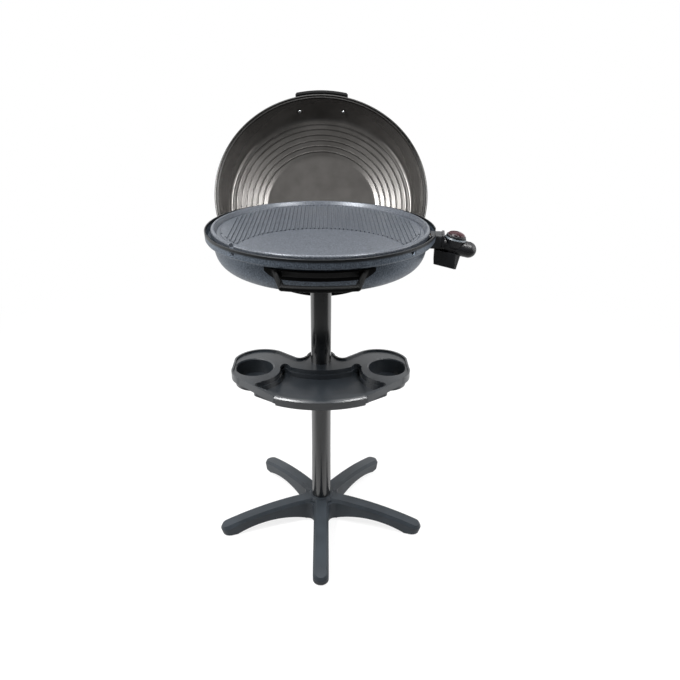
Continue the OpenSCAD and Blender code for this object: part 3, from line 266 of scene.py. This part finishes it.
FINISHES = {
    "base_plastic": moulded_plastic(
        "glass_filled_nylon", "#282d32", "#31373d", 1.6, 0.04, rough=0.46, gloss=0.35),
    "shelf_plastic": moulded_plastic(
        "textured_polypropylene", "#1e2226", "#262b30", 1.6, 0.03, rough=0.32, gloss=1.0),
    "fitting_plastic": moulded_plastic(
        "black_polyamide", "#191b1d", "#222427", 1.6, 0.04, rough=0.5),
    "handle_plastic": moulded_plastic(
        "black_phenolic_resin", "#030304", "#070808", 2.0, 0.015, rough=0.5, gloss=0.1),
    "control_plastic": moulded_plastic(
        "black_abs", "#0f1012", "#151619", 2.0, 0.02, rough=0.4, gloss=0.45),
    "dial_grey": moulded_plastic(
        "grey_abs", "#4d5358", "#5b6267", 2.0, 0.01, rough=0.35),
    "pad_rubber": moulded_plastic(
        "black_thermoplastic_rubber", "#141414", "#1c1c1d", 1.4, 0.04, rough=0.75),
    "tube_paint": powder_coated_steel("powder_coated_tube", "#0c0e10", "#111315", rough=0.2),
    "tray_steel": powder_coated_steel("black_enamelled_steel", "#050506", "#090a0a", rough=0.3),
    "bowl_coat": speckled_coat(
        "fleck_coated_casting", "#3c434b", "#636d79", 2.4, 0.06, rough=0.45, metal=0.5,
        painted_shade_on_rim=True),
    "plate_coat": speckled_coat(
        "ceramic_nonstick_casting", "#30343a", "#5b6068", 2.2, 0.04, rough=0.35, metal=0.2),
    "lid_coat": lacquered_aluminium(
        "anthracite_lacquered_sheet", "#4e4c4a", "#5a5856", rough=0.22),
    "plain_steel": bare_metal("zinc_plated_steel", "#b0b3b5", "#d2d4d6", rough=0.36),
    "reflector_sheet": bare_metal(
        "rolled_aluminium_sheet", "#c4c6c8", "#dadcdd", rough=0.25, grain_mm=3.0),
    "heater_sheath": bare_metal(
        "heat_tinted_stainless_sheath", "#5a4a40", "#7d6a5b", rough=0.45, grain_mm=4.0),
    "contact_brass": bare_metal("rolled_brass", "#a8854a", "#c6a564", rough=0.3),
    "dial_lens": smoked_polycarbonate("smoked_red_polycarbonate", "#12060a", "#3a1016"),
}


def dress_cad_nodes():
    """Gives every CAD node the finish of the material slot that the record names for it."""
    slots = {part["node"]: part["material_slot"] for part in frame["record"]["subparts"]}
    for name, piece in frame["nodes"].items():
        piece.data.materials.clear()
        piece.data.materials.append(FINISHES[slots[name]])


# ---- pieces grown by Geometry Nodes --------------------------------------------------------

SEAM_WELD = 0.01 * MM             # closes a turned sheet's seam and its poles
SLIVER_WELD = 0.002 * MM          # clears faces of no area that a cut leaves
CAD_WELD = 0.001 * MM             # joins the loose triangles of a CAD mesh's copy


def new_group(name, sockets):
    """An empty geometry tree with these named inputs beside its geometry."""
    tree = bpy.data.node_groups.new(name, "GeometryNodeTree")
    tree.interface.new_socket("Geometry", in_out="INPUT", socket_type="NodeSocketGeometry")
    for label, kind in sockets.items():
        tree.interface.new_socket(label, in_out="INPUT", socket_type=kind)
    tree.interface.new_socket("Geometry", in_out="OUTPUT", socket_type="NodeSocketGeometry")
    return tree, add(tree, "NodeGroupInput").outputs


def close_group(tree, shape, finish):
    """Ends a tree: everything made real, then given its finish."""
    real = add(tree, "GeometryNodeRealizeInstances", {"Geometry": shape}).outputs[0]
    dressed = add(tree, "GeometryNodeSetMaterial", {"Geometry": real, "Material": finish})
    add(tree, "NodeGroupOutput", {"Geometry": dressed.outputs[0]})


def grow(name, seed_mesh, tree, values, place, crease_deg):
    """Runs a geometry tree on a mesh and returns the result as a plain piece in its place."""
    seed = bpy.data.objects.new(name + "_seed", seed_mesh)
    scene.collection.objects.link(seed)
    modifier = seed.modifiers.new("grow", "NODES")
    modifier.node_group = tree
    for item in tree.interface.items_tree:
        if item.in_out == "INPUT" and item.name in values:
            modifier[item.identifier] = values[item.name]
    bpy.context.view_layer.update()
    graph = bpy.context.evaluated_depsgraph_get()
    mesh = bpy.data.meshes.new_from_object(
        seed.evaluated_get(graph), preserve_all_data_layers=True, depsgraph=graph)
    bpy.data.objects.remove(seed)
    mesh.name = name
    mesh.transform(place)
    shell = bmesh.new()
    shell.from_mesh(mesh)
    bmesh.ops.recalc_face_normals(shell, faces=shell.faces)
    shell.to_mesh(mesh)
    shell.free()
    mesh.set_sharp_from_angle(angle=math.radians(crease_deg))
    piece = bpy.data.objects.new(name, mesh)
    scene.collection.objects.link(piece)
    return piece


def turned_sheet_tree():
    """Turns the seed's points, one radius and height each, round the upright axis."""
    tree, given = new_group("turned_sheet", {
        "Steps": "NodeSocketInt", "Finish": "NodeSocketMaterial"})
    outline = given["Geometry"]
    count = add(tree, "GeometryNodeAttributeDomainSize", {"Geometry": outline},
                component="MESH").outputs[0]
    columns = add(tree, "ShaderNodeMath", {0: given["Steps"], 1: 1.0},
                  operation="ADD").outputs[0]
    grid = add(tree, "GeometryNodeMeshGrid", {
        "Vertices X": count, "Vertices Y": columns}).outputs["Mesh"]
    index = add(tree, "GeometryNodeInputIndex").outputs[0]
    row = add(tree, "ShaderNodeMath", {0: index, 1: columns}, operation="DIVIDE").outputs[0]
    row = add(tree, "ShaderNodeMath", {0: row}, operation="FLOOR").outputs[0]
    column = add(tree, "ShaderNodeMath", {0: index, 1: columns}, operation="MODULO").outputs[0]
    spot = add(tree, "GeometryNodeInputPosition").outputs[0]
    point = add(tree, "GeometryNodeSampleIndex", {
        "Geometry": outline, "Value": spot, "Index": row},
        data_type="FLOAT_VECTOR", domain="POINT").outputs[0]
    point = add(tree, "ShaderNodeSeparateXYZ", {"Vector": point}).outputs
    share = add(tree, "ShaderNodeMath", {0: column, 1: given["Steps"]},
                operation="DIVIDE").outputs[0]
    angle = add(tree, "ShaderNodeMath", {0: share, 1: math.tau}, operation="MULTIPLY").outputs[0]
    turn = add(tree, "ShaderNodeCombineXYZ", {"Z": angle}).outputs[0]
    arm = add(tree, "ShaderNodeCombineXYZ", {"X": point["X"], "Z": point["Z"]}).outputs[0]
    turned = add(tree, "ShaderNodeVectorRotate", {"Vector": arm, "Rotation": turn},
                 rotation_type="EULER_XYZ").outputs[0]
    sheet = add(tree, "GeometryNodeSetPosition", {
        "Geometry": grid, "Position": turned}).outputs[0]
    sheet = add(tree, "GeometryNodeMergeByDistance", {
        "Geometry": sheet, "Distance": SEAM_WELD}).outputs[0]
    sheet = add(tree, "GeometryNodeSetShadeSmooth", {"Geometry": sheet}).outputs[0]
    close_group(tree, sheet, given["Finish"])
    return tree


def lid_outline():
    """The lid's sheet, all round: inside from wall to middle, outside back, then its rim."""
    inside = []
    lean, climb = WALL_HEAD[0] - WALL_FOOT[0], WALL_HEAD[1] - WALL_FOOT[1]
    for i in range(WALL_STEPS + 1):
        f = i / WALL_STEPS
        height = WALL_ROUNDING * math.sin(f * math.pi / 2) + (1 - WALL_ROUNDING) * f
        inside.append((WALL_FOOT[0] + lean * f ** WALL_BULGE, WALL_FOOT[1] + climb * height))
    for i in range(1, SHOULDER_STEPS):
        f = i / SHOULDER_STEPS
        inside.append(tuple(
            (1 - f) ** 2 * head + 2 * f * (1 - f) * corner + f * f * end
            for head, corner, end in zip(WALL_HEAD, SHOULDER_CORNER, SHOULDER)))
    fall = (FLOOR_EDGE[1] - SHOULDER[1]) / (SHOULDER[0] - FLOOR_EDGE[0])
    radius = SHOULDER[0]
    while radius > FLOOR_EDGE[0]:
        depth = SHOULDER[1] + (SHOULDER[0] - radius) * fall
        for ring in RING_RADII:
            off = abs(radius - ring) / (BEAD_WIDTH / 2)
            if off < 1:
                depth -= BEAD_HEIGHT * math.cos(off * math.pi / 2) ** 2
        inside.append((radius, depth))
        radius -= SLOPE_STEP
    for i in range(FLOOR_STEPS + 1):
        f = 1 - i / FLOOR_STEPS
        inside.append((FLOOR_EDGE[0] * f, FLOOR_DEPTH - (FLOOR_DEPTH - FLOOR_EDGE[1]) * f * f))
    outside = [(r + SHEET, h + SHEET) for r, h in reversed(inside[:-1])]
    curl = [(CURL_CENTRE[0] + CURL_RADIUS * math.cos(a), CURL_CENTRE[1] + CURL_RADIUS * math.sin(a))
            for a in (math.pi / 2 - k * math.pi / CURL_STEPS for k in range(CURL_STEPS + 1))]
    middle = [(0, FLOOR_DEPTH + SHEET)]
    return inside + middle + outside + RIM_LEDGE + curl + RIM_UNDERSIDE + [inside[0]]


def press_lid():
    """The lid's sheet, turned from its outline and swung open on its hinge."""
    outline = bpy.data.meshes.new("lid_outline")
    outline.from_pydata([(r * MM, 0, h * MM) for r, h in lid_outline()], [], [])
    lifted = Matrix.Translation((0, 0, RIM_HEIGHT * MM))
    hinge = Matrix.Translation((0, HINGE_BACK * MM, HINGE_HEIGHT * MM))
    opened = hinge @ Matrix.Rotation(OPENING, 4, "X") @ hinge.inverted()
    lid = grow("lid_sheet", outline, turned_sheet_tree(),
               {"Steps": TURN_STEPS, "Finish": FINISHES["lid_coat"]}, opened @ lifted, LID_CREASE)
    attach(lid, "lid")
    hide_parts("lid_shell")


# ---- the front handle, in mm and degrees ---------------------------------------------------

HANDLE_ROOT = 268.0               # it is fuller only further out than this
HANDLE_SWELL = 2.2                # by this much, outward and down, so that the tray clears it
HANDLE_CREASE = 30.0


def fill_out_handle():
    """The front handle's bars with the fuller section of a moulded grip."""
    shape = bmesh.new()
    shape.from_mesh(frame["nodes"]["front_handle"].data)
    bmesh.ops.remove_doubles(shape, verts=shape.verts, dist=CAD_WELD)
    shape.normal_update()
    moved = [(vert, vert.normal * HANDLE_SWELL * MM) for vert in shape.verts
             if vert.co.xy.length > HANDLE_ROOT * MM]
    for vert, shift in moved:
        sideways = shift.x if shift.x * vert.co.x > 0 else 0.0
        vert.co += Vector((sideways, shift.y, min(shift.z, 0.0)))
    bmesh.ops.recalc_face_normals(shape, faces=shape.faces)
    mesh = bpy.data.meshes.new("moulded_front_handle")
    shape.to_mesh(mesh)
    shape.free()
    mesh.shade_smooth()
    mesh.set_sharp_from_angle(angle=math.radians(HANDLE_CREASE))
    mesh.materials.append(FINISHES["handle_plastic"])
    piece = bpy.data.objects.new("moulded_front_handle", mesh)
    scene.collection.objects.link(piece)
    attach(piece, "stand")
    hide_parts("front_handle")


# ---- pan-head screws, in mm and degrees ----------------------------------------------------

HEAD, HEAD_RISE = 3.6, 2.2
SCREW_SIZES = {                   # a plain shank, and one bar of the cross recess
    "Shank Radius": 2.0, "Recess Length": 4.2, "Recess Width": 0.9, "Recess Depth": 2.0,
}
DOME_SEGMENTS, DOME_RINGS, SHANK_SIDES = 32, 16, 24
SCREW_CREASE = 40.0
LEAST, MOST, RANDOM_FLOAT = 2, 3, 1   # sockets of a Random Value node set to floats
SCREWED = {                       # node: body, head radius, head rise
    "lid_handle_screws": ("lid", 5.4, 4.2),
    "housing_screws": ("control_unit", HEAD, HEAD_RISE),
    "handle_screws": ("stand", HEAD, HEAD_RISE),
    "bracket_screws": ("stand", HEAD, HEAD_RISE),
    "socket_screws": ("stand", HEAD, HEAD_RISE),
    "shroud_screws": ("stand", HEAD, HEAD_RISE),
    "clamp_screws": ("stand", HEAD, HEAD_RISE),
}


def pan_screws_tree():
    """Puts a domed, cross-recessed screw on each point, along its facing, turned at random."""
    sizes = ["Head Radius", "Head Rise", "Grip", *SCREW_SIZES]
    tree, given = new_group("pan_screws", {
        **dict.fromkeys(sizes, "NodeSocketFloat"),
        "Seed": "NodeSocketInt", "Finish": "NodeSocketMaterial"})

    # the head: a ball with a flat underside, stretched to size, with a cross cut into its top
    ball = add(tree, "GeometryNodeMeshUVSphere", {
        "Segments": DOME_SEGMENTS, "Rings": DOME_RINGS, "Radius": 1.0}).outputs["Mesh"]
    spot = add(tree, "GeometryNodeInputPosition").outputs[0]
    spot = add(tree, "ShaderNodeSeparateXYZ", {"Vector": spot}).outputs
    upper = add(tree, "ShaderNodeMath", {0: spot["Z"], 1: 0.0}, operation="MAXIMUM").outputs[0]
    stretched = add(tree, "ShaderNodeCombineXYZ")
    for axis, part, size in (("X", spot["X"], "Head Radius"), ("Y", spot["Y"], "Head Radius"),
                             ("Z", upper, "Head Rise")):
        scaled = add(tree, "ShaderNodeMath", {0: part, 1: given[size]}, operation="MULTIPLY")
        tree.links.new(scaled.outputs[0], stretched.inputs[axis])
    dome = add(tree, "GeometryNodeSetPosition", {
        "Geometry": ball, "Position": stretched.outputs[0]}).outputs[0]
    crown = add(tree, "ShaderNodeCombineXYZ", {"Z": given["Head Rise"]}).outputs[0]
    cut = add(tree, "GeometryNodeMeshBoolean", {0: dome}, operation="DIFFERENCE", solver="EXACT")
    for along_x, along_y in (("Recess Length", "Recess Width"), ("Recess Width", "Recess Length")):
        size = add(tree, "ShaderNodeCombineXYZ", {
            "X": given[along_x], "Y": given[along_y], "Z": given["Recess Depth"]}).outputs[0]
        bar = add(tree, "GeometryNodeMeshCube", {"Size": size}).outputs["Mesh"]
        bar = add(tree, "GeometryNodeTransform", {
            "Geometry": bar, "Translation": crown}).outputs[0]
        tree.links.new(bar, cut.inputs[1])
    head = add(tree, "GeometryNodeMergeByDistance", {
        "Geometry": cut.outputs[0], "Distance": SLIVER_WELD}).outputs[0]

    # the shank: plain, and as long as the grip below the head
    shank = add(tree, "GeometryNodeMeshCylinder", {
        "Vertices": SHANK_SIDES, "Radius": given["Shank Radius"],
        "Depth": given["Grip"]}).outputs["Mesh"]
    sink = add(tree, "ShaderNodeMath", {0: given["Grip"], 1: -0.5},
               operation="MULTIPLY").outputs[0]
    sink = add(tree, "ShaderNodeCombineXYZ", {"Z": sink}).outputs[0]
    shank = add(tree, "GeometryNodeTransform", {
        "Geometry": shank, "Translation": sink}).outputs[0]

    # the turn: along the point's facing, then a random twist about it
    facing = add(tree, "GeometryNodeInputNamedAttribute", {"Name": "facing"},
                 data_type="FLOAT_VECTOR").outputs[0]
    aligned = add(tree, "FunctionNodeAlignRotationToVector", {"Vector": facing},
                  axis="Z").outputs[0]
    twist = add(tree, "FunctionNodeRandomValue", {
        LEAST: 0.0, MOST: math.tau, "Seed": given["Seed"]},
        data_type="FLOAT").outputs[RANDOM_FLOAT]
    twist = add(tree, "FunctionNodeAxisAngleToRotation", {
        "Axis": (0, 0, 1), "Angle": twist}).outputs[0]
    turned = add(tree, "FunctionNodeRotateRotation", {0: aligned, 1: twist},
                 rotation_space="LOCAL").outputs[0]

    both = add(tree, "GeometryNodeJoinGeometry")
    for part in (head, shank):
        placed = add(tree, "GeometryNodeInstanceOnPoints", {
            "Points": given["Geometry"], "Instance": part, "Rotation": turned})
        tree.links.new(placed.outputs[0], both.inputs[0])
    smooth = add(tree, "GeometryNodeSetShadeSmooth", {"Geometry": both.outputs[0]}).outputs[0]
    close_group(tree, smooth, given["Finish"])
    return tree


def islands_of(mesh):
    """The corners of each separate solid in a welded mesh, in the mesh's own order."""
    waiting, found = set(mesh.verts), []
    while waiting:
        start = min(waiting, key=lambda vert: vert.index)
        island, fresh = {start}, [start]
        while fresh:
            for edge in fresh.pop().link_edges:
                for vert in edge.verts:
                    if vert not in island:
                        island.add(vert)
                        fresh.append(vert)
        waiting -= island
        found.append(numpy.array([
            vert.co[:] for vert in sorted(island, key=lambda vert: vert.index)]))
    return found


def screws_in(node):
    """Seat, facing and grip of each screw of a CAD node, read from its shape.

    A screw's axis is the odd one of its three main axes, and its head is the wider end.
    """
    mesh = bmesh.new()
    mesh.from_mesh(frame["nodes"][node].data)
    bmesh.ops.remove_doubles(mesh, verts=mesh.verts, dist=CAD_WELD)
    found = []
    for spots in islands_of(mesh):
        middle = (spots.max(axis=0) + spots.min(axis=0)) / 2
        spans, axes = numpy.linalg.eigh(numpy.cov((spots - spots.mean(axis=0)).T))
        odd = 0 if spans[1] - spans[0] > spans[2] - spans[1] else 2
        axis = axes[:, odd]
        along = (spots - middle) @ axis
        across = numpy.linalg.norm(spots - middle - numpy.outer(along, axis), axis=1)
        if across[along > 0].max() < across[along < 0].max():
            axis, along = -axis, -along
        seat = middle + axis * (along.max() - HEAD_RISE * MM)
        found.append((seat, axis, along.max() - along.min() - HEAD_RISE * MM))
    mesh.free()
    return found


def fit_screws():
    """A domed screw for every screw of the CAD nodes in SCREWED, one piece for each node."""
    tree = pan_screws_tree()
    for seed, (node, (body, head, rise)) in enumerate(SCREWED.items()):
        screws = screws_in(node)
        seats = bpy.data.meshes.new(node + "_seats")
        seats.from_pydata([tuple(seat) for seat, _, _ in screws], [], [])
        facing = seats.attributes.new("facing", "FLOAT_VECTOR", "POINT")
        for i, (_, axis, _) in enumerate(screws):
            facing.data[i].vector = axis
        grip = float(min(length for _, _, length in screws))
        piece = grow("domed_" + node, seats, tree, {
            **{name: size * MM for name, size in SCREW_SIZES.items()},
            "Head Radius": head * MM, "Head Rise": rise * MM, "Grip": grip, "Seed": seed,
            "Finish": FINISHES["plain_steel"]}, Matrix(), SCREW_CREASE)
        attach(piece, body)
        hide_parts(node)


# ---- studio --------------------------------------------------------------------------------

SKY_GLOW = 0.50                   # what the sweep gives as even light
ROOM_GLOW = 0.07                  # what the dim room in front shows in a mirror, of the sweep's 1
HORIZON = (-0.35, 0.35)           # headings, as Y of a unit vector, where room turns to sweep
SWEEP_EDGE = (-0.38, 0.1)         # the same change on the floor, at these distances in Y
SHADOW_REACH = (0.45, 2.2)        # shadows fade out between these distances from the column
SHADOW_SHARE = 0.22               # share of the floor's white that shadows can take
FLOOR_BOUNCE = 0.5                # share of the light that the floor throws back on the object
FLOOR_LIGHT = 0.80                # light that falls on the open floor beside the object
FLOOR_HALF = 30.0
SOFTBOXES = [                     # name, place, aim, size, watts
    ("left_wall", (-1.45, -0.25, 1.2), (0, 0, 0.8), (1.1, 1.2), 17),
    ("right_wall", (1.55, -0.15, 1.2), (0, 0, 0.8), (1.0, 1.2), 13),
    ("left_high", (-1.0, -0.78, 2.45), (0.1, 0.35, 0.9), (0.45, 0.6), 58),
    ("right_high", (1.0, -0.78, 2.45), (-0.1, 0.35, 0.9), (0.45, 0.6), 38),
    ("overhead", (0, 0.22, 2.7), (0, 0.25, 0.6), (1.5, 1.1), 34),
]


def softbox(name, place, aim, size, watts):
    """A rectangular lamp that the camera doesn't see, turned to its aim."""
    light = bpy.data.lights.new(name, "AREA")
    light.shape, light.size, light.size_y, light.energy = "RECTANGLE", size[0], size[1], watts
    lamp = bpy.data.objects.new(name, light)
    turn = (Vector(aim) - Vector(place)).to_track_quat("-Z", "Y").to_matrix()
    lamp.matrix_world = Matrix.Translation(place) @ turn.to_4x4()
    lamp.visible_camera = False
    scene.collection.objects.link(lamp)


def eye_and_mirror(tree):
    """Two factors: 1 for rays from the camera, and 1 for mirrored and refracted rays."""
    path = add(tree, "ShaderNodeLightPath").outputs
    mirror = add(tree, "ShaderNodeMath", {
        0: path["Is Glossy Ray"], 1: path["Is Transmission Ray"]}, operation="MAXIMUM").outputs[0]
    return path["Is Camera Ray"], mirror


def light_studio():
    """A white sweep behind and round the object, a dim room in front, and the softboxes."""
    world = bpy.data.worlds.new("studio")
    scene.world = world
    world.use_nodes = True
    tree = world.node_tree
    tree.nodes.clear()
    eye, mirror = eye_and_mirror(tree)
    heading = add(tree, "ShaderNodeTexCoord").outputs["Generated"]
    depth = add(tree, "ShaderNodeSeparateXYZ", {"Vector": heading}).outputs["Y"]
    sweep = add(tree, "ShaderNodeMapRange", {
        "Value": depth, "From Min": HORIZON[0], "From Max": HORIZON[1],
        "To Min": ROOM_GLOW, "To Max": 1.0}, interpolation_type="SMOOTHSTEP").outputs[0]
    even = add(tree, "ShaderNodeMath", {0: sweep, 1: SKY_GLOW}, operation="MULTIPLY").outputs[0]
    strength = add(tree, "ShaderNodeMix", {"Factor": mirror, "A": even, "B": sweep}).outputs[0]
    strength = add(tree, "ShaderNodeMix", {"Factor": eye, "A": strength, "B": 1.0}).outputs[0]
    sky = add(tree, "ShaderNodeBackground", {"Color": (1, 1, 1, 1), "Strength": strength})
    add(tree, "ShaderNodeOutputWorld", {"Surface": sky.outputs[0]})
    for box in SOFTBOXES:
        softbox(*box)


def lay_floor():
    """White floor that keeps a soft shadow near the object and is plain white further out."""
    corners = [(-1, -1), (1, -1), (1, 1), (-1, 1)]
    mesh = bpy.data.meshes.new("studio_floor")
    mesh.from_pydata([(x * FLOOR_HALF, y * FLOOR_HALF, 0) for x, y in corners], [],
                     [(0, 1, 2, 3)])
    finish, tree = blank_finish("white_vinyl_floor")
    eye, mirror = eye_and_mirror(tree)
    place = add(tree, "ShaderNodeTexCoord").outputs["Object"]
    ahead = add(tree, "ShaderNodeSeparateXYZ", {"Vector": place}).outputs["Y"]
    sweep = add(tree, "ShaderNodeMapRange", {
        "Value": ahead, "From Min": SWEEP_EDGE[0], "From Max": SWEEP_EDGE[1],
        "To Min": ROOM_GLOW, "To Max": 1.0}, interpolation_type="SMOOTHSTEP").outputs[0]
    shown = add(tree, "ShaderNodeMix", {"Factor": mirror, "A": eye, "B": sweep}).outputs[0]
    reach = add(tree, "ShaderNodeVectorMath", {0: place}, operation="LENGTH").outputs["Value"]
    near = add(tree, "ShaderNodeMapRange", {
        "Value": reach, "From Min": SHADOW_REACH[0], "From Max": SHADOW_REACH[1],
        "To Min": 1.0, "To Max": 0.0}, interpolation_type="SMOOTHSTEP").outputs[0]
    seen = add(tree, "ShaderNodeMath", {0: eye, 1: mirror}, operation="MAXIMUM").outputs[0]
    white = add(tree, "ShaderNodeMath", {0: near, 1: SHADOW_SHARE},
                operation="MULTIPLY").outputs[0]
    albedo = add(tree, "ShaderNodeMix", {"Factor": seen, "A": FLOOR_BOUNCE, "B": white}).outputs[0]
    grey = add(tree, "ShaderNodeCombineColor", {0: albedo, 1: albedo, 2: albedo}).outputs[0]
    glow = add(tree, "ShaderNodeMath", {0: near, 1: -SHADOW_SHARE * FLOOR_LIGHT, 2: 1.0},
               operation="MULTIPLY_ADD").outputs[0]
    glow = add(tree, "ShaderNodeMath", {0: glow, 1: shown}, operation="MULTIPLY").outputs[0]
    close_finish(tree, {
        "Base Color": grey, "Roughness": 0.9, "Emission Color": (1, 1, 1, 1),
        "Emission Strength": glow, "Specular IOR Level": 0.0})
    mesh.materials.append(finish)
    floor = bpy.data.objects.new("studio_floor", mesh)
    scene.collection.objects.link(floor)


aim_camera()
dress_cad_nodes()
press_lid()
fill_out_handle()
fit_screws()
light_studio()
lay_floor()
scene.view_settings.view_transform = "Standard"
